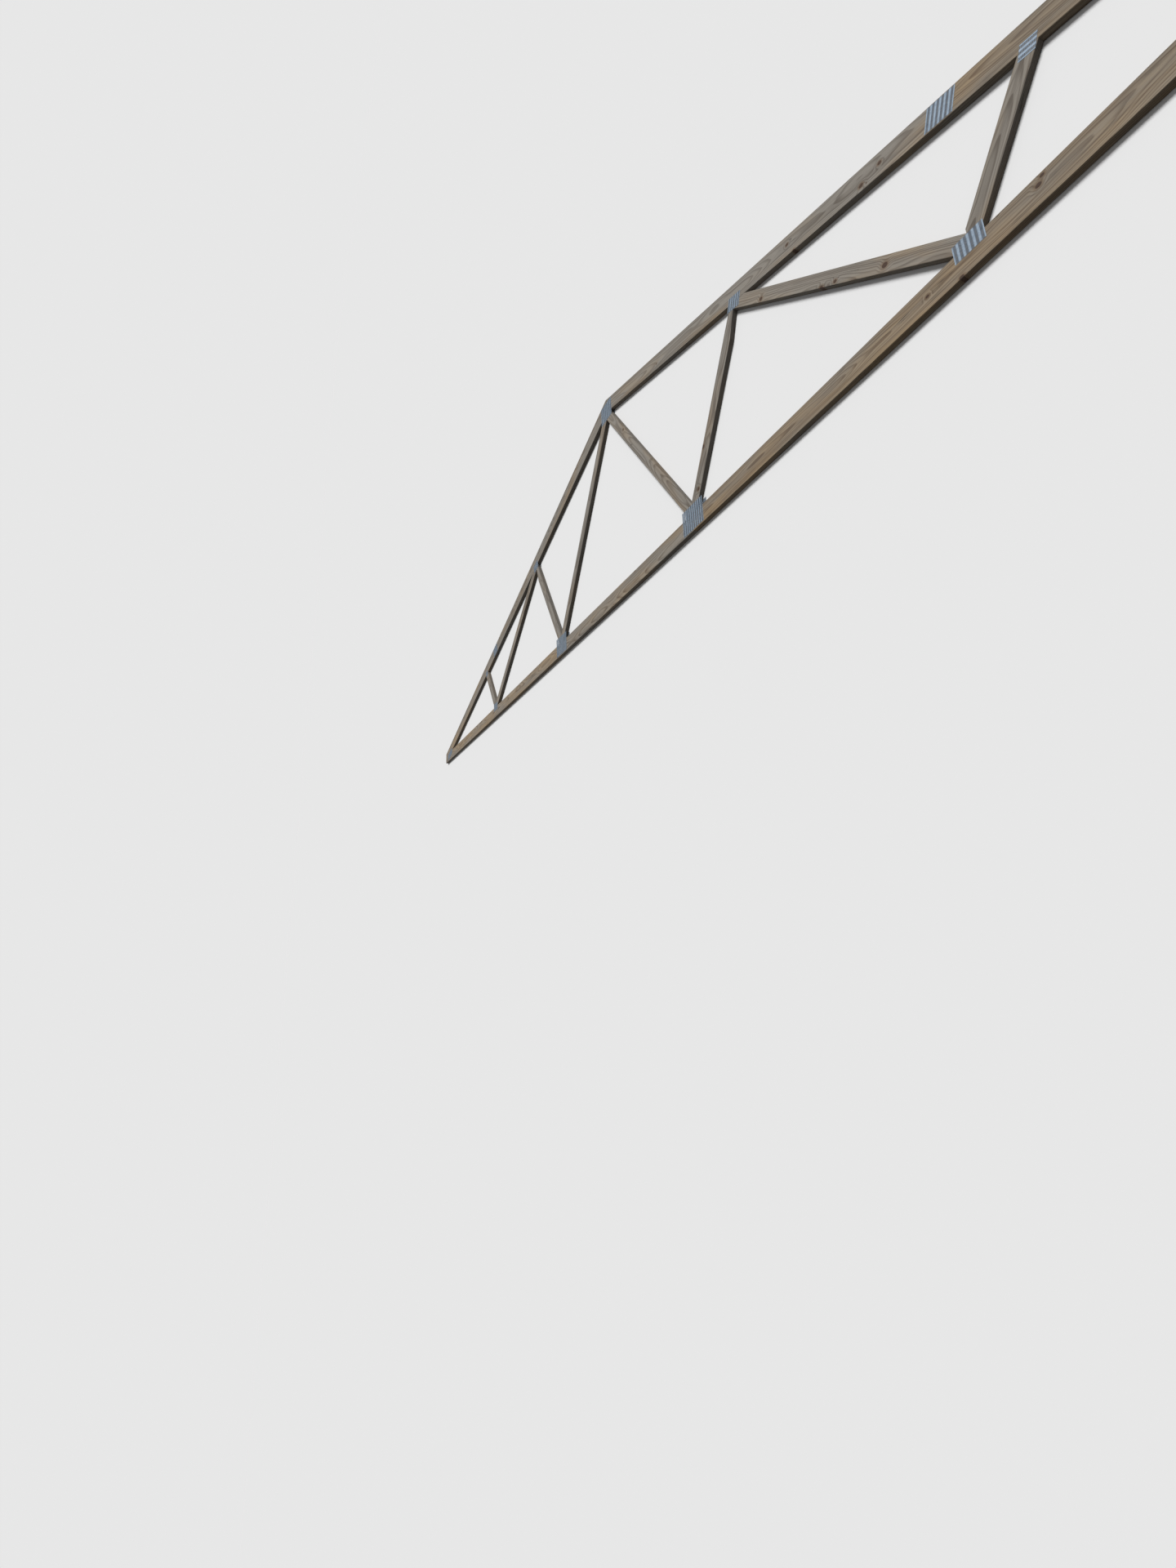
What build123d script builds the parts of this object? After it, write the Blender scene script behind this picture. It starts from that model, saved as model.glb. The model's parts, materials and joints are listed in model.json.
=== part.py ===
from build123d import *
import math
import os

# A double fink roof truss of planed softwood, lying flat on its back face: x runs along the span,
# y from the bottom chord up to the peak, z through the thickness. Sizes are in millimetres.

# Outline of the truss
span = 12192.0              # from end to end of the bottom chord
roof_run = 304.8            # a top chord rises roof_rise over every roof_run
roof_rise = 101.6
heel_butt = 6.35            # height of the square end left under the top chord at the heel

# Lumber
board_thickness = 38.1
chord_depth = 139.7
web_depth = 88.9
edge_radius = 3.2           # the mill eases the long edges
joint_gap = 0.5             # sawn ends meet with this much daylight

# Panel points, measured along the span from the middle of the truss
bottom_inner_point = 1219.2  # the bottom chord is spliced here too
bottom_outer_point = 3435.0
top_inner_point = 1905.0
top_outer_point = 3835.0
splice_setback = 430.0      # the top chord is spliced this far up the slope from top_outer_point

# Connector plates: length along the rows of teeth, then width
plate_thickness = 1.0
plate_margin = 9.5          # plates at the peak and the splice stop this far inside the chord's edge
peak_plate = (203.2, 190.5)
bottom_inner_plate = (254.0, 203.2)
bottom_outer_plate = (152.4, 101.6)
top_inner_plate = (127.0, 101.6)
top_outer_plate = (76.2, 76.2)
splice_plate = (152.4, 127.0)
heel_plate = (254.0, 101.6)

# Lines that the pieces are cut and seated to
half_span = span / 2
slope = roof_rise / roof_run
pitch = math.degrees(math.atan(slope))
plumb_depth = chord_depth * math.hypot(1, slope)
peak_height = heel_butt + plumb_depth + slope * half_span
splice_distance = top_outer_point * math.hypot(1, slope) + chord_depth * slope - splice_setback
board_middle = plate_thickness + board_thickness / 2


def underside(x):
    """Height of the lower edge of the top chords at x."""
    return peak_height - plumb_depth - slope * abs(x)


def board(start, end, depth):
    """Planed lumber with eased edges along the line from start to end."""
    start, end = Vector(*start, board_middle), Vector(*end, board_middle)
    section = Plane(origin=start, x_dir=(0, 0, 1), z_dir=end - start)
    return extrude(section * RectangleRounded(board_thickness, depth, edge_radius), (end - start).length)


def sawn(piece, point, away):
    """The part of a piece that lies from the saw line through point towards away."""
    return split(piece, bisect_by=Plane(origin=(*point, 0), z_dir=(*away, 0)), keep=Keep.TOP)


def along_roof(distance, drop=0.0):
    """A point on the right-hand slope: distance down from the peak, drop square to the top edge."""
    angle = math.radians(pitch)
    return (
        distance * math.cos(angle) - drop * math.sin(angle),
        peak_height - distance * math.sin(angle) - drop * math.cos(angle),
    )


def facing_roof():
    """Direction square to the right-hand slope, out of the truss."""
    return math.sin(math.radians(pitch)), math.cos(math.radians(pitch))


def down_roof():
    """Direction down the right-hand slope."""
    return math.cos(math.radians(pitch)), -math.sin(math.radians(pitch))


def bottom_chord_middle():
    reach = bottom_inner_point - joint_gap / 2
    return board((-reach, chord_depth / 2), (reach, chord_depth / 2), chord_depth)


def bottom_chord_right():
    """The outer length, scarfed at the heel so that the top chord bears on it."""
    start = bottom_inner_point + joint_gap / 2
    chord = board((start, chord_depth / 2), (half_span, chord_depth / 2), chord_depth)
    out_x, out_y = facing_roof()
    heel_line = (half_span - joint_gap * out_x, underside(half_span) - joint_gap * out_y)
    return sawn(chord, heel_line, (-out_x, -out_y))


def top_chords_right():
    """The upper length, plumb cut at the peak, and the lower one, plumb cut over the heel."""
    roof_length = half_span * math.hypot(1, slope)
    spare = chord_depth
    start, end = along_roof(-spare, chord_depth / 2), along_roof(roof_length + spare, chord_depth / 2)
    whole = board(start, end, chord_depth)
    whole = sawn(whole, (joint_gap / 2, 0), (1, 0))
    whole = sawn(whole, (half_span, 0), (-1, 0))
    down_x, down_y = down_roof()
    upper = sawn(whole, along_roof(splice_distance - joint_gap / 2), (-down_x, -down_y))
    lower = sawn(whole, along_roof(splice_distance + joint_gap / 2), (down_x, down_y))
    return upper, lower


def webs_right():
    """Four webs from the heel to the peak, each cut to the chords and to its neighbour."""
    points = [
        (top_outer_point, underside(top_outer_point)),
        (bottom_outer_point, chord_depth),
        (top_inner_point, underside(top_inner_point)),
        (bottom_inner_point, chord_depth),
        (0, underside(0)),
    ]
    out_x, out_y = facing_roof()
    down_x, down_y = down_roof()
    webs = []
    for index in range(len(points) - 1):
        outer, inner = points[index], points[index + 1]
        spare = 2 * web_depth / math.dist(outer, inner)
        spare_x = spare * (inner[0] - outer[0])
        spare_y = spare * (inner[1] - outer[1])
        start = (outer[0] - spare_x, outer[1] - spare_y)
        end = (inner[0] + spare_x, inner[1] + spare_y)
        web = board(start, end, web_depth)
        roof_line = (-joint_gap * out_x, underside(0) - joint_gap * out_y)
        web = sawn(web, roof_line, (-out_x, -out_y))
        web = sawn(web, (0, chord_depth + joint_gap), (0, 1))
        for point, side in ((outer, -1), (inner, 1)):
            meets_roof = point[1] > chord_depth
            if point == points[0]:
                continue
            if meets_roof and point != points[-1]:
                line = (point[0] + side * down_x * joint_gap / 2, point[1] + side * down_y * joint_gap / 2)
                web = sawn(web, line, (side * down_x, side * down_y))
            else:
                web = sawn(web, (point[0] + side * joint_gap / 2, 0), (side, 0))
        webs.append(web)
    return webs


def plate(size, centre, turn, back):
    """One connector plate, pressed flat on the front or the back face of the lumber."""
    level = 0 if back else plate_thickness + board_thickness
    sheet = Box(*size, plate_thickness, align=(Align.CENTER, Align.CENTER, Align.MIN))
    return Pos(*centre, level) * Rot(0, 0, turn) * sheet


def plates_right():
    """Size, centre and turn of the plates on the right-hand half."""
    return {
        "bottom_inner": (
            bottom_inner_plate,
            (bottom_inner_point, plate_margin + bottom_inner_plate[1] / 2),
            0,
        ),
        "bottom_outer": (bottom_outer_plate, (bottom_outer_point, chord_depth), 0),
        "top_inner": (top_inner_plate, (top_inner_point, underside(top_inner_point)), -pitch),
        "top_outer": (top_outer_plate, (top_outer_point, underside(top_outer_point)), 90 - pitch),
        "top_splice": (splice_plate, along_roof(splice_distance, chord_depth / 2), -pitch),
        "heel": (heel_plate, (half_span - heel_plate[0], underside(half_span - heel_plate[0])), -pitch),
    }


def mirrored(piece):
    return mirror(piece, about=Plane.YZ)


def truss():
    """Every piece of the truss by name."""
    pieces = {"bottom_chord_middle": bottom_chord_middle()}
    upper, lower = top_chords_right()
    right = {"bottom_chord": bottom_chord_right(), "top_chord_upper": upper, "top_chord_lower": lower}
    for number, web in enumerate(webs_right(), start=1):
        right[f"web_{number}"] = web
    for face in ("front", "back"):
        for joint, (size, centre, turn) in plates_right().items():
            right[f"{joint}_plate_{face}"] = plate(size, centre, turn, face == "back")
        peak_top = peak_height - slope * peak_plate[0] / 2 - plate_margin
        peak_centre = (0, peak_top - peak_plate[1] / 2)
        pieces[f"peak_plate_{face}"] = plate(peak_plate, peak_centre, 0, face == "back")
    for name, piece in right.items():
        pieces[f"{name}_right"] = piece
        pieces[f"{name}_left"] = mirrored(piece)
    return pieces


# The origin is on the floor, under the middle of the truss's outline
os.makedirs("parts", exist_ok=True)
for name, piece in truss().items():
    export_step(Pos(0, -peak_height / 2, 0) * piece, f"parts/{name}.step")
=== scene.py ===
import json
import math

import bmesh
import bpy
from mathutils import Matrix, Vector


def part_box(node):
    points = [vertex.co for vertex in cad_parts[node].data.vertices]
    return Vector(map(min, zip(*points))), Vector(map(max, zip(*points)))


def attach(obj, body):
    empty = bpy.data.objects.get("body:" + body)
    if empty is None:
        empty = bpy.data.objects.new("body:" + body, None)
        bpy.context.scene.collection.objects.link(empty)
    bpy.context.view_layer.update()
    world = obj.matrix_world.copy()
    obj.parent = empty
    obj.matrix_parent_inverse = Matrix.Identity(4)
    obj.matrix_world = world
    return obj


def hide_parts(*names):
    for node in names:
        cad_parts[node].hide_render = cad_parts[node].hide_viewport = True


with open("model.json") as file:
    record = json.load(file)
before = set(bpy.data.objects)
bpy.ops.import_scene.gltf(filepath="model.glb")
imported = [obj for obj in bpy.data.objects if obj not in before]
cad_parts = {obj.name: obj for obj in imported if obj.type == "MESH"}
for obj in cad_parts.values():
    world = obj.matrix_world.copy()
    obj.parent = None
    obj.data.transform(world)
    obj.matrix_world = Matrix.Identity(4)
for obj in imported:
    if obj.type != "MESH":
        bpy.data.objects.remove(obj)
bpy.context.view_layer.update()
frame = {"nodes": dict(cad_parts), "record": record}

# Bottom chord
# Three lengths of planed 2x6 softwood, grey-brown from a season in the yard, with the growth
# rings, knots and drying checks of flat-sawn boards. They butt under the two largest plates.

low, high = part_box("bottom_chord_middle")
chord_top = high[1]
chord_depth = high[1] - low[1]
board_thickness = high[2] - low[2]


class Socket:
    """An output of a node. Sums and products of sockets and numbers add Math nodes."""

    def __init__(self, nodes, output):
        self.nodes = nodes
        self.output = output

    def math(self, operation, *others):
        values = dict(enumerate((self, *others)))
        return self.nodes.add("ShaderNodeMath", {"operation": operation}, values)

    def __add__(self, other):
        return self.math("ADD", other)

    def __sub__(self, other):
        return self.math("SUBTRACT", other)

    def __rsub__(self, other):
        return self * -1.0 + other

    def __mul__(self, other):
        return self.math("MULTIPLY", other)

    def __truediv__(self, other):
        return self.math("DIVIDE", other)

    def __pow__(self, other):
        return self.math("POWER", other)

    __radd__ = __add__
    __rmul__ = __mul__


class Nodes:
    """The node tree of a material, the world or a modifier."""

    def __init__(self, tree):
        self.tree = tree
        self.tree.nodes.clear()

    def add(self, kind, settings=None, inputs=None, output=0):
        """Makes a node: its settings first, then the values or links of its sockets."""
        node = self.tree.nodes.new(kind)
        for name, value in (settings or {}).items():
            setattr(node, name, value)
        for name, value in (inputs or {}).items():
            if isinstance(value, Socket):
                self.tree.links.new(value.output, node.inputs[name])
            else:
                node.inputs[name].default_value = value
        return Socket(self, node.outputs[output]) if node.outputs else node

    def ramp(self, value, low, high, start=0.0, end=1.0):
        """A smooth step from start to end while the value goes from low to high."""
        limits = {"Value": value, "From Min": low, "From Max": high, "To Min": start, "To Max": end}
        return self.add("ShaderNodeMapRange", {"interpolation_type": "SMOOTHSTEP"}, limits)

    def blend(self, factor, first, second, how="MIX"):
        """Mixes two colours, which are inputs 6 and 7 of a Mix node. The mix is its output 2."""
        settings = {"data_type": "RGBA", "blend_type": how}
        return self.add("ShaderNodeMix", settings, {0: factor, 6: first, 7: second}, output=2)

    def placed(self, middle, turn):
        """The place on a piece that lies at middle and is turned about z, and its three parts."""
        position = self.add("ShaderNodeTexCoord", output="Object")
        mapping = {"Vector": position, "Location": middle, "Rotation": (0.0, 0.0, turn)}
        place = self.add("ShaderNodeMapping", {"vector_type": "TEXTURE"}, mapping)
        parts = [self.add("ShaderNodeSeparateXYZ", inputs={0: place}, output=axis) for axis in range(3)]
        return place, *parts

    def stretched(self, place, along, across, shift):
        """The place on a piece, scaled along and across it, and moved to another spot."""
        another_spot = (shift, shift * 0.37, shift * 0.71)
        values = {0: place, 1: (along, across, across), 2: another_spot}
        return self.add("ShaderNodeVectorMath", {"operation": "MULTIPLY_ADD"}, values)

    def noise(self, place, along, across, shift, detail=2.0, roughness=0.5):
        """A cloud pattern from 0 to 1, drawn out along the piece."""
        place = self.stretched(place, along, across, shift)
        values = {"Vector": place, "Scale": 1.0, "Detail": detail, "Roughness": roughness}
        return self.add("ShaderNodeTexNoise", {"noise_dimensions": "3D"}, values)


def softwood(name, middle, turn, depth, pith, tone, seed, knots=()):
    """Planed softwood for one board that lies at middle, turned about z, and is depth wide.

    pith is how far the heart of the tree lies beside and below the board's middle, and how
    much it nears the face along the board. tone is how yellow, how grey and how dark the board
    is. knots holds the places, along and across the board, and the radii of its plainest knots.
    """
    material = bpy.data.materials.new(name)
    material.use_nodes = True
    nodes = Nodes(material.node_tree)
    beside_pith, below_pith, pith_slope = pith
    yellow, grey, dark = tone
    place, along, across, through = nodes.placed(middle, turn)

    # Knots go through the board from face to face. Some cells of the grid hold none
    knot_spacing = 0.26
    knot_size = (0.003, 0.013)
    bare_share = 0.45
    bare_margin = 0.02
    long_knot = 0.8
    out_of_reach = 100.0
    flat_place = {0: along * long_knot + seed, 1: across + seed * 0.7, 2: 0.0}
    flat = nodes.add("ShaderNodeCombineXYZ", inputs=flat_place)
    cells = {"Vector": flat, "Scale": 1.0 / knot_spacing, "Randomness": 0.85}
    cell_settings = {"voronoi_dimensions": "2D", "feature": "F1"}
    cell_distance = nodes.add("ShaderNodeTexVoronoi", cell_settings, cells, "Distance")
    cell_colour = nodes.add("ShaderNodeTexVoronoi", cell_settings, cells, "Color")
    chance = nodes.add("ShaderNodeSeparateColor", inputs={0: cell_colour})
    radius = nodes.ramp(chance, bare_share, 1.0, *knot_size)
    no_knot = nodes.ramp(chance, bare_share + bare_margin, bare_share)
    knot_reach = cell_distance * knot_spacing / radius + no_knot * out_of_reach
    for knot_along, knot_across, knot_radius in knots:
        beside = (along - knot_along) * long_knot
        above = across - knot_across
        reach = (beside * beside + above * above) ** 0.5 / knot_radius
        knot_reach = knot_reach.math("MINIMUM", reach)

    # Outer and inner limits, in radii, of a knot's dark heart, its rim and the grain bent round it
    heart_limits = (1.12, 0.85)
    rim_limits = (2.3, 1.0)
    bent_limits = (3.6, 0.6)
    bent_by = 0.010
    knot = nodes.ramp(knot_reach, *heart_limits)
    knot_rim = nodes.ramp(knot_reach, *rim_limits)
    grain_flow = nodes.ramp(knot_reach, *bent_limits) * bent_by

    # Growth rings about the pith, which wanders along the tree, dark in the last part of each ring
    ring_width = 0.0065
    side_swing = 0.050
    deep_swing = 0.075
    ring_swing = 1.7
    latewood_start = (0.40, 0.86)
    latewood_end = (1.0, 0.94)
    side_noise = nodes.noise(place, along=0.7, across=2.0, shift=seed + 3.1)
    deep_noise = nodes.noise(place, along=1.1, across=2.5, shift=seed + 8.7)
    side = across - beside_pith + (side_noise - 0.5) * side_swing
    deep = through + below_pith + (deep_noise - 0.5) * deep_swing + along * pith_slope
    from_pith = (side * side + deep * deep) ** 0.5 + grain_flow
    unevenness = nodes.noise(place, along=0.3, across=14.0, shift=seed + 1.3) * ring_swing
    ring = (from_pith / ring_width + unevenness).math("FRACT")
    latewood = nodes.ramp(ring, *latewood_start) * nodes.ramp(ring, *latewood_end)

    # Fibres, streaks, drying checks, weather stains, and dirt from stacking and strapping
    check_sides = (0.006, 0.001)
    check_ends = (0.56, 0.64)
    fibre = nodes.noise(place, along=14.0, across=620.0, shift=seed, detail=3.0, roughness=0.6)
    streak = nodes.noise(place, along=0.55, across=48.0, shift=seed + 5.0, detail=4.0, roughness=0.62)
    check_line = nodes.noise(place, along=0.9, across=42.0, shift=seed + 21.0, detail=1.0)
    check_place = nodes.noise(place, along=1.1, across=9.0, shift=seed + 31.0, detail=1.0)
    check_width = nodes.ramp((check_line - 0.5).math("ABSOLUTE"), *check_sides)
    check = check_width * nodes.ramp(check_place, *check_ends)
    stain = nodes.noise(place, along=1.3, across=7.0, shift=seed + 11.0, detail=4.0, roughness=0.55)
    blotch = nodes.noise(place, along=5.0, across=22.0, shift=seed + 17.0, detail=4.0, roughness=0.6)

    # The eased edges catch handling dirt
    worn = 0.006
    near_side = depth / 2 - across.math("ABSOLUTE")
    near_face = board_thickness / 2 - through.math("ABSOLUTE")
    edge = nodes.ramp(near_side, worn, 0.0) * nodes.ramp(near_face, worn, 0.0)

    # Fresh wood and silvered wood share the lines of the rings and streaks
    pale_wood = (0.270 + 0.160 * yellow, 0.215 + 0.085 * yellow, 0.150 + 0.010 * yellow, 1.0)
    ring_wood = (0.125 + 0.070 * yellow, 0.085 + 0.030 * yellow, 0.052 + 0.005 * yellow, 1.0)
    grey_wood = (0.240, 0.231, 0.215, 1.0)
    grey_ring = (0.112, 0.102, 0.089, 1.0)
    ring_share = 0.62
    streak_limits = (0.44, 0.62)
    weather_limits = (0.30, 0.72)
    line = latewood * ring_share + nodes.ramp(streak, *streak_limits) * (1.0 - ring_share)
    fresh = nodes.blend(line, pale_wood, ring_wood)
    silvered = nodes.blend(line, grey_wood, grey_ring)
    silver_spread = (grey - 0.5) * 0.5
    silver_share = 0.35 + 0.6 * grey
    weathered = nodes.ramp(stain + silver_spread, *weather_limits) * silver_share
    wood = nodes.blend(weathered, fresh, silvered)

    # Each layer hides a share of the wood where it lies
    stained_wood = (0.080, 0.070, 0.060, 1.0)
    knot_wood = (0.045, 0.022, 0.012, 1.0)
    open_check = (0.030, 0.024, 0.020, 1.0)
    blotch_limits = (0.52, 0.80)
    handled_limits = (0.35, 0.60)
    layers = [
        (nodes.ramp(blotch, *blotch_limits), 0.15 + 0.45 * dark, stained_wood),
        (knot_rim, 0.6, ring_wood),
        (knot, 0.95, knot_wood),
        (check, 0.85, open_check),
        (edge * nodes.ramp(blotch, *handled_limits), 0.4, stained_wood),
    ]
    for layer, share, colour in layers:
        wood = nodes.blend(layer * share, wood, colour)

    # Darker boards, and fibres that are lighter or darker than the wood between them
    darkening = 0.20
    fibre_contrast = 0.55
    shade = 1.0 - darkening * dark - (fibre - 0.5) * fibre_contrast
    shaded = nodes.add("ShaderNodeCombineColor", inputs={0: shade, 1: shade, 2: shade})
    wood = nodes.blend(1.0, wood, shaded, "MULTIPLY")

    planer_step = 0.0026
    planer_marks = (along * (math.tau / planer_step)).math("SINE")
    height = latewood * 0.30 + fibre * 0.30 + planer_marks * 0.03 - check * 1.4 + knot * 0.35
    relief = {"Strength": 0.55, "Distance": 0.0007, "Height": height}
    finish = {
        "Base Color": wood,
        "Roughness": 0.80 - latewood * 0.10 - knot * 0.18 + weathered * 0.08,
        "Specular IOR Level": 0.22,
        "Normal": nodes.add("ShaderNodeBump", inputs=relief),
    }
    shader = nodes.add("ShaderNodeBsdfPrincipled", inputs=finish)
    nodes.add("ShaderNodeOutputMaterial", inputs={0: shader})
    return material


def middle_of(node):
    """The middle of a node's box at rest."""
    low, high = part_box(node)
    return (Vector(low) + Vector(high)) / 2


def finish_board(node, middle, turn, depth, **look):
    """Gives a board that the frame already holds its own wood."""
    piece = frame["nodes"][node]
    piece.data.materials.clear()
    piece.data.materials.append(softwood(f"softwood of {node}", middle, turn, depth, **look))


bottom_chord_looks = {
    "left": {"pith": (0.020, 0.085, 0.012), "tone": (0.35, 0.60, 0.35), "seed": 4.0},
    "middle": {"pith": (-0.030, 0.110, -0.010), "tone": (0.25, 0.70, 0.30), "seed": 9.0},
    "right": {
        "pith": (0.010, 0.075, 0.016),
        "tone": (0.52, 0.55, 0.80),
        "seed": 17.5,
        "knots": [(-0.452, 0.002, 0.008), (-0.284, -0.064, 0.010), (0.080, 0.022, 0.011)],
    },
}
for part, look in bottom_chord_looks.items():
    node = f"bottom_chord_{part}"
    finish_board(node, middle_of(node), 0.0, chord_depth, **look)

# Top chords
# Two lengths of the same 2x6 stock on each slope, plumb cut at the peak, square cut where they
# butt under the splice plates, and laid on the scarfed ends of the bottom chord at the heels.

mounts = {mount["name"]: mount for mount in frame["record"]["mounts"]}
top_chord_looks = {
    "upper_left": {"pith": (0.025, 0.090, -0.012), "tone": (0.25, 0.80, 0.30), "seed": 23.0},
    "lower_left": {"pith": (-0.015, 0.070, 0.014), "tone": (0.36, 0.68, 0.30), "seed": 31.0},
    "upper_right": {
        "pith": (0.000, 0.100, 0.010),
        "tone": (0.30, 0.78, 0.20),
        "seed": 38.0,
        "knots": [(0.754, 0.007, 0.009), (1.352, -0.035, 0.012), (1.471, 0.004, 0.010)],
    },
    "lower_right": {"pith": (0.030, 0.080, -0.015), "tone": (0.44, 0.58, 0.80), "seed": 46.0},
}
for part, look in top_chord_looks.items():
    seat = mounts["purlin_seat_" + part.split("_")[1]]
    square_to_roof = Vector(seat["axis"])
    middle = Vector(seat["pos_m"]) - square_to_roof * chord_depth / 2
    turn = math.atan2(-square_to_roof.x, square_to_roof.y)
    finish_board(f"top_chord_{part}", middle, turn, chord_depth, **look)

# Webs
# Four boards of planed 2x4 on each half zigzag between the chords. Their ends are double cut to
# meet the chords and each other along the middle of each plate.

web_depth = 0.0889
web_looks = {
    "1_left": {"pith": (0.010, 0.060, 0.020), "tone": (0.28, 0.75, 0.45), "seed": 52.0},
    "2_left": {"pith": (-0.020, 0.080, -0.012), "tone": (0.30, 0.70, 0.35), "seed": 60.0},
    "3_left": {"pith": (0.015, 0.070, 0.015), "tone": (0.22, 0.82, 0.30), "seed": 67.0},
    "4_left": {"pith": (0.000, 0.090, -0.010), "tone": (0.28, 0.78, 0.40), "seed": 75.0},
    "1_right": {"pith": (-0.010, 0.065, -0.018), "tone": (0.25, 0.70, 0.40), "seed": 82.0},
    "2_right": {
        "pith": (0.045, 0.050, 0.004),
        "tone": (0.36, 0.72, 0.15),
        "seed": 92.5,
        "knots": [(-0.471, 0.006, 0.015), (-0.093, 0.026, 0.010)],
    },
    "3_right": {"pith": (0.020, 0.070, -0.014), "tone": (0.28, 0.78, 0.35), "seed": 97.0},
    "4_right": {
        "pith": (-0.015, 0.085, 0.012),
        "tone": (0.30, 0.78, 0.25),
        "seed": 103.0,
        "knots": [(0.605, -0.018, 0.009)],
    },
}
for part, look in web_looks.items():
    number, side = part.split("_")
    bottom_inner = middle_of(f"bottom_inner_plate_front_{side}")
    low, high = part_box(f"web_4_{side}")
    feet = [
        middle_of(f"top_outer_plate_front_{side}"),
        middle_of(f"bottom_outer_plate_front_{side}"),
        middle_of(f"top_inner_plate_front_{side}"),
        Vector((bottom_inner.x, chord_top, 0.0)),
        Vector((0.0, high[1], 0.0)),
    ]
    start, end = feet[int(number) - 1], feet[int(number)]
    middle = (start + end) / 2
    middle.z = middle_of(f"web_{part}").z
    turn = math.atan2(end.y - start.y, end.x - start.x)
    finish_board(f"web_{part}", middle, turn, web_depth, **look)

# Connector plates
# Galvanised sheet steel, 1 mm thick, with a slot punched for every pair of teeth. The teeth are
# pressed into both faces of each joint, so the slots show rolled ends with the wood below.

row_pitch = 0.0254
slot_pitch = 0.00635
slot_length = 0.0127
slot_width = 0.0032
plate_thickness = 0.001
lip_radius = 0.0009
lip_steps = 3
weld_distance = slot_pitch / 100


def punched_cell():
    """One slot and the sheet around it, open where the next cells join on."""
    work = bmesh.new()
    top, base = plate_thickness, 0.0
    half_row, half_pitch = row_pitch / 2, slot_pitch / 2
    half_slot, half_width = slot_length / 2, slot_width / 2

    def corners(x, y, z):
        return [work.verts.new((sx * x, sy * y, z)) for sx, sy in ((-1, -1), (1, -1), (1, 1), (-1, 1))]

    outer_top = corners(half_row, half_pitch, top)
    outer_base = corners(half_row, half_pitch, base)
    rolled = []
    for step in range(lip_steps + 1):
        angle = math.pi / 2 * step / lip_steps
        inset = lip_radius * math.sin(angle)
        drop = lip_radius * (1 - math.cos(angle))
        rolled.append(corners(half_slot - inset, half_width, top - drop))
    inner_base = corners(half_slot - lip_radius, half_width, base)
    for here, there in ((0, 1), (1, 2), (2, 3), (3, 0)):
        work.faces.new((outer_top[here], outer_top[there], rolled[0][there], rolled[0][here]))
        work.faces.new((inner_base[here], inner_base[there], outer_base[there], outer_base[here]))
    levels = rolled + [inner_base]
    for upper, lower in zip(levels[:-1], levels[1:]):
        work.faces.new((upper[1], upper[2], lower[2], lower[1]))
        work.faces.new((upper[3], upper[0], lower[0], lower[3]))
    work.faces.new([level[0] for level in levels] + [level[1] for level in reversed(levels)])
    work.faces.new([level[2] for level in levels] + [level[3] for level in reversed(levels)])
    mesh = bpy.data.meshes.new("punched cell")
    work.to_mesh(mesh)
    work.free()
    return mesh


def punching_tree():
    """Repeats the cell over a plate of so many rows of slots."""
    tree = bpy.data.node_groups.new("punched rows", "GeometryNodeTree")
    tree.is_modifier = True
    nodes = Nodes(tree)
    kinds = {
        "Geometry": "Geometry",
        "Rows": "Int",
        "Slots per Row": "Int",
        "Row Pitch": "Float",
        "Slot Pitch": "Float",
        "Finish": "Material",
    }
    identifiers = {}
    for name, kind in kinds.items():
        socket = tree.interface.new_socket(name, in_out="INPUT", socket_type=f"NodeSocket{kind}")
        identifiers[name] = socket.identifier
    tree.interface.new_socket("Geometry", in_out="OUTPUT", socket_type="NodeSocketGeometry")
    given = [nodes.add("NodeGroupInput", output=name) for name in kinds]
    cell, rows, slots, row_step, slot_step, finish = given
    size = {"Size X": (rows - 1) * row_step, "Size Y": (slots - 1) * slot_step}
    grid = {**size, "Vertices X": rows, "Vertices Y": slots}
    points = nodes.add("GeometryNodeMeshGrid", inputs=grid)
    cells = nodes.add("GeometryNodeInstanceOnPoints", inputs={"Points": points, "Instance": cell})
    sheet = nodes.add("GeometryNodeRealizeInstances", inputs={0: cells})
    sheet = nodes.add("GeometryNodeSetMaterial", inputs={"Geometry": sheet, "Material": finish})
    nodes.add("NodeGroupOutput", inputs={0: sheet})
    return tree, identifiers


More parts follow.
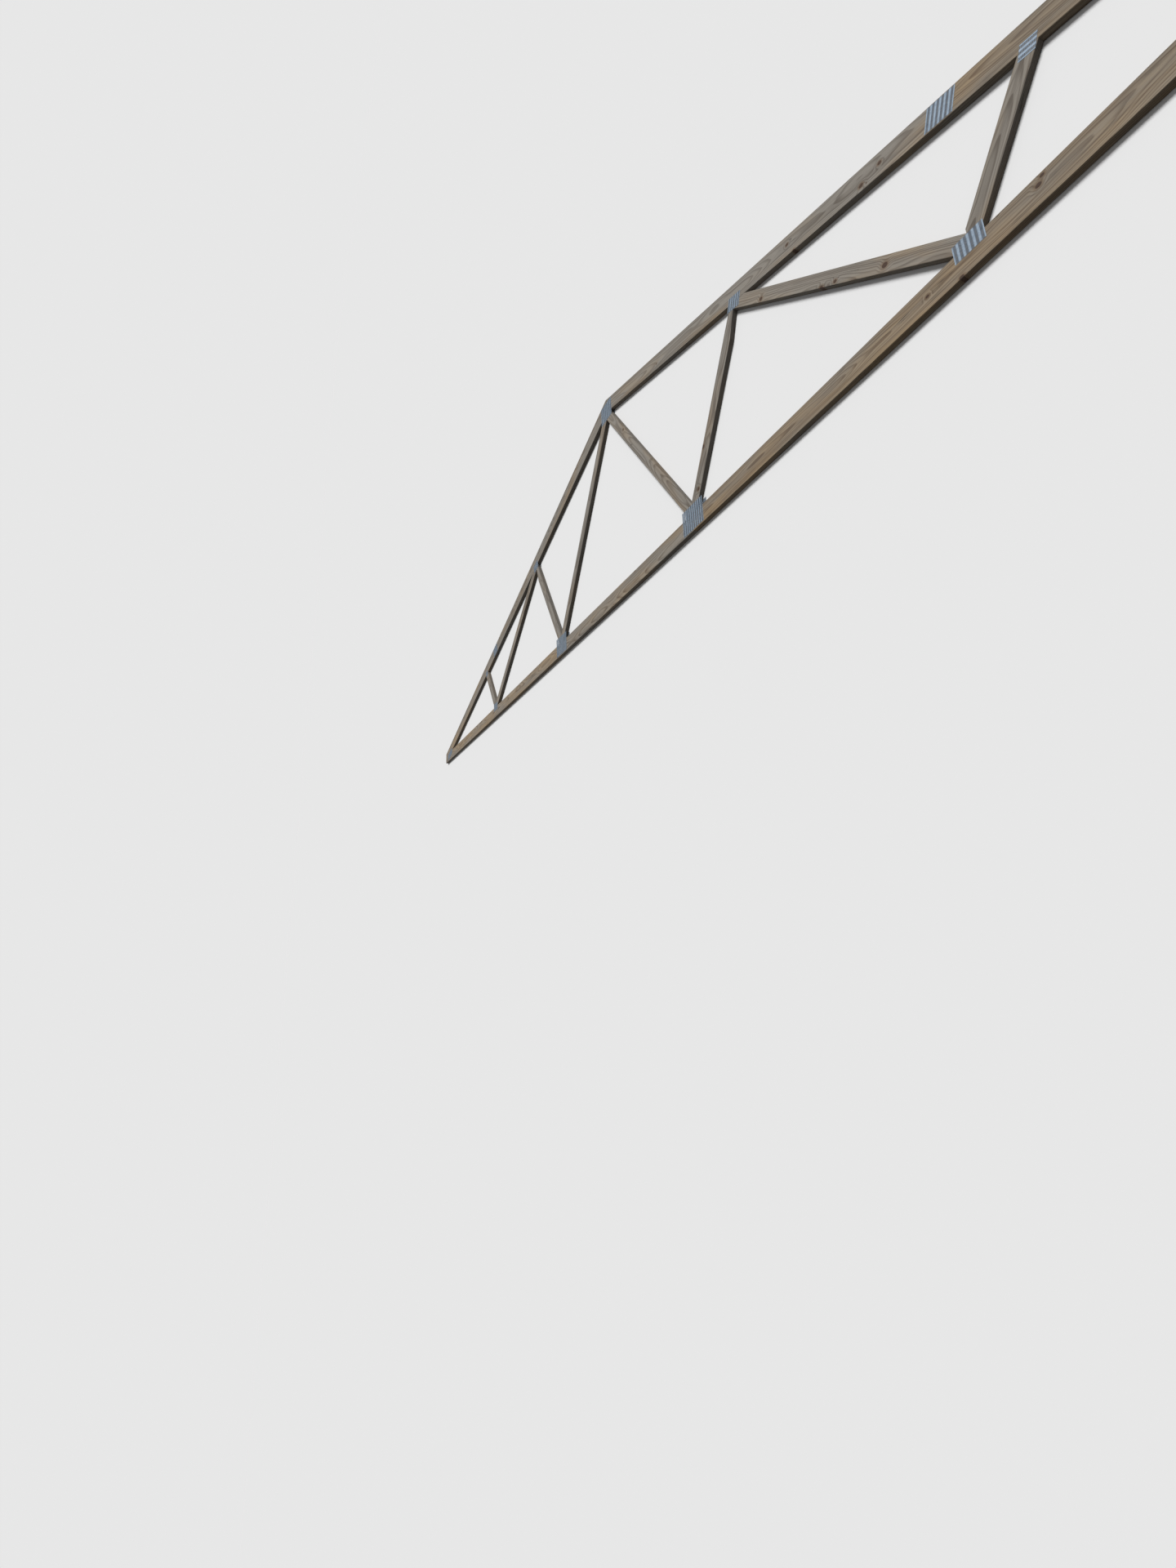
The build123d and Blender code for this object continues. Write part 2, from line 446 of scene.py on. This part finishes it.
def galvanised(name, middle, turn, rows, seed):
    """Zinc-coated steel, dulled in the open, with faint spangle, painted shade along the rows of slots
    and a blue tint that is a painted reflection of the sky.
    """
    material = bpy.data.materials.new(name)
    material.use_nodes = True
    nodes = Nodes(material.node_tree)
    place, along = nodes.placed(middle, turn)[:2]
    spangles_per_metre = 110.0
    bloom_limits = (0.60, 0.80)
    spangle_place = nodes.stretched(place, along=1.0, across=1.0, shift=seed)
    spangle_cells = {"Vector": spangle_place, "Scale": spangles_per_metre}
    spangle_colour = nodes.add("ShaderNodeTexVoronoi", {"feature": "F1"}, spangle_cells, "Color")
    spangle = nodes.add("ShaderNodeSeparateColor", inputs={0: spangle_colour})
    cloud = nodes.noise(place, along=16.0, across=16.0, shift=seed, detail=5.0, roughness=0.6)
    scuff = nodes.noise(place, along=25.0, across=420.0, shift=seed + 3.0, detail=3.0)
    bloom = nodes.noise(place, along=45.0, across=45.0, shift=seed + 7.0, detail=4.0, roughness=0.65)
    bloom = nodes.ramp(bloom, *bloom_limits)

    # The sheet is dished along the rows of slots, where its colour is darkened as painted shade, and
    # bright on the bands between them
    dish_rim = slot_length / 2 + 0.0035
    dish_floor = slot_length / 2 - 0.001
    in_row = (along / row_pitch + rows / 2).math("FRACT") - 0.5
    from_row = in_row.math("ABSOLUTE") * row_pitch
    punched = nodes.ramp(from_row, dish_rim, dish_floor)

    # The blue tint of both zinc colours is a painted reflection of a blue sky; under it they are the
    # zinc's own greys
    dull_zinc_with_painted_sky = (0.085, 0.115, 0.155, 1.0)
    bright_zinc_with_painted_sky = (0.235, 0.290, 0.350, 1.0)
    white_rust = (0.34, 0.37, 0.39, 1.0)
    grime = (0.055, 0.060, 0.065, 1.0)
    spangle_range = (0.55, 0.95)
    dish_painted_shade = 0.8
    grime_limits = (0.52, 0.82)
    rust_share = 0.25
    grime_share = 0.35
    # Along the rows of slots the punched mask darkens the zinc as painted shade in the dish; in the
    # relief below it is the real dish
    brightness = nodes.ramp(spangle, 0.0, 1.0, *spangle_range) * (1.0 - punched * dish_painted_shade)
    zinc = nodes.blend(brightness, dull_zinc_with_painted_sky, bright_zinc_with_painted_sky)
    zinc = nodes.blend(bloom * rust_share, zinc, white_rust)
    zinc = nodes.blend(nodes.ramp(cloud, *grime_limits) * grime_share, zinc, grime)
    height = cloud * 0.5 + scuff * 0.12 - punched * 0.3
    relief = {"Strength": 0.5, "Distance": 0.0006, "Height": height}
    finish = {
        "Base Color": zinc,
        "Metallic": 0.60 - bloom * 0.4,
        "Roughness": 0.46 + spangle * 0.08 + cloud * 0.12 + scuff * 0.06,
        "Normal": nodes.add("ShaderNodeBump", inputs=relief),
    }
    shader = nodes.add("ShaderNodeBsdfPrincipled", inputs=finish)
    nodes.add("ShaderNodeOutputMaterial", inputs={0: shader})
    return material


def punched_plate(node, rows, slots, turn, seed):
    """A plate of so many rows and slots, in the place of the frame's plain one."""
    place = middle_of(node)
    blank = bpy.data.objects.new("blank", cell_mesh)
    bpy.context.collection.objects.link(blank)
    modifier = blank.modifiers.new("punching", "NODES")
    modifier.node_group = punching
    values = {
        "Rows": rows,
        "Slots per Row": slots,
        "Row Pitch": row_pitch,
        "Slot Pitch": slot_pitch,
        "Finish": galvanised(f"zinc of {node}", place, turn, rows, seed),
    }
    for name, value in values.items():
        modifier[punching_inputs[name]] = value
    depsgraph = bpy.context.evaluated_depsgraph_get()
    mesh = bpy.data.meshes.new_from_object(blank.evaluated_get(depsgraph), depsgraph=depsgraph)
    blank.modifiers.remove(modifier)
    bpy.data.objects.remove(blank)

    # The cells are welded into one sheet and closed along its sheared rim
    work = bmesh.new()
    work.from_mesh(mesh)
    bmesh.ops.remove_doubles(work, verts=work.verts, dist=weld_distance)
    bmesh.ops.bridge_loops(work, edges=[edge for edge in work.edges if edge.is_boundary])
    bmesh.ops.recalc_face_normals(work, faces=work.faces)
    facing = Matrix.Rotation(math.pi, 4, "X") if "_back" in node else Matrix.Identity(4)
    centred = Matrix.Translation((0.0, 0.0, -plate_thickness / 2))
    work.transform(Matrix.Translation(place) @ Matrix.Rotation(turn, 4, "Z") @ facing @ centred)
    work.to_mesh(mesh)
    work.free()
    plate = bpy.data.objects.new(f"punched_{node}", mesh)
    bpy.context.collection.objects.link(plate)
    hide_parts(node)
    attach(plate, "root")


cell_mesh = punched_cell()
punching, punching_inputs = punching_tree()
roof_axis = mounts["purlin_seat_right"]["axis"]
roof_turn = math.atan2(-roof_axis[0], roof_axis[1])
across_roof = roof_turn + math.pi / 2

# Rows of slots, slots in each row, and how far the plates on the right half are turned
plate_kinds = {
    "bottom_inner": (10, 32, 0.0),
    "bottom_outer": (6, 16, 0.0),
    "top_inner": (5, 16, roof_turn),
    "top_outer": (3, 12, across_roof),
    "top_splice": (6, 20, roof_turn),
    "heel": (10, 16, roof_turn),
}
plate_seed = 1.0
seed_step = 5.3
for face in ("front", "back"):
    punched_plate(f"peak_plate_{face}", rows=8, slots=30, turn=0.0, seed=plate_seed)
    for kind, (rows, slots, turn) in plate_kinds.items():
        for side, sense in (("left", -1), ("right", 1)):
            plate_seed += seed_step
            punched_plate(f"{kind}_plate_{face}_{side}", rows, slots, sense * turn, plate_seed)

# Studio
# A pale floor under the truss and the same pale tone behind it, lit by a wide soft lamp beyond
# the peak and a dim even sky. The camera looks down and along the truss from beside its right half.

floor_half_width = 60.0
pale = 0.80
floor_bounce = 0.10
sky_strength = 0.20
lamp_height = math.radians(52)
lamp_side = math.radians(70)
lamp_spread = math.radians(24)


def plain(value):
    """A colour without a tint."""
    return (value, value, value, 1.0)


def shown_pale(nodes):
    """1 where the camera sees a surface, by itself or mirrored in metal or through glass."""
    looks = ("Is Camera Ray", "Is Glossy Ray", "Is Transmission Ray")
    seen, mirrored, passed = [nodes.add("ShaderNodeLightPath", output=look) for look in looks]
    return seen + mirrored + passed


floor_mesh = bpy.data.meshes.new("floor")
work = bmesh.new()
bmesh.ops.create_grid(work, x_segments=1, y_segments=1, size=floor_half_width)
work.to_mesh(floor_mesh)
work.free()
floor = bpy.data.objects.new("floor", floor_mesh)
bpy.context.collection.objects.link(floor)
floor_paint = bpy.data.materials.new("pale floor")
floor_paint.use_nodes = True
nodes = Nodes(floor_paint.node_tree)
tone = nodes.blend(shown_pale(nodes), plain(floor_bounce), plain(pale))
paint = nodes.add("ShaderNodeBsdfDiffuse", inputs={"Color": tone})
nodes.add("ShaderNodeOutputMaterial", inputs={0: paint})
floor_mesh.materials.append(floor_paint)

world = bpy.data.worlds.new("studio")
world.use_nodes = True
bpy.context.scene.world = world
nodes = Nodes(world.node_tree)
strength = shown_pale(nodes) * (pale - sky_strength) + sky_strength
background = nodes.add("ShaderNodeBackground", inputs={"Color": plain(1.0), "Strength": strength})
nodes.add("ShaderNodeOutputWorld", inputs={0: background})

# The lamp and the sky together light an upward face to its own colour
lamp = bpy.data.lights.new("soft lamp", "SUN")
lamp.angle = lamp_spread
lamp.energy = (1.0 - sky_strength) * math.pi / math.sin(lamp_height)
lamp_object = bpy.data.objects.new("soft lamp", lamp)
bpy.context.collection.objects.link(lamp_object)
towards_lamp = Vector((
    math.cos(lamp_side) * math.cos(lamp_height),
    math.sin(lamp_side) * math.cos(lamp_height),
    math.sin(lamp_height),
))
lamp_object.rotation_euler = towards_lamp.to_track_quat("Z", "Y").to_euler()

camera_place = Vector((4.748, -3.893, 2.688))
looking = Vector((-0.8654, 0.2693, -0.4227)).normalized()
picture_up = Vector((0.2581, 0.9624, 0.0847))
picture_right = looking.cross(picture_up).normalized()
picture_up = picture_right.cross(looking)
picture_height = 1920
focal_pixels = 825.3
level_row = 910.6
camera = bpy.data.cameras.new("camera")
camera.sensor_fit = "VERTICAL"
camera.sensor_height = 36.0
camera.lens = focal_pixels / picture_height * camera.sensor_height
camera.shift_y = (level_row - picture_height / 2) / picture_height
camera.clip_start = 0.05
camera.clip_end = 500.0
camera_object = bpy.data.objects.new("camera", camera)
bpy.context.collection.objects.link(camera_object)
axes = Matrix((picture_right, picture_up, -looking)).transposed().to_4x4()
camera_object.matrix_world = Matrix.Translation(camera_place) @ axes
bpy.context.scene.camera = camera_object
bpy.context.scene.view_settings.view_transform = "Standard"
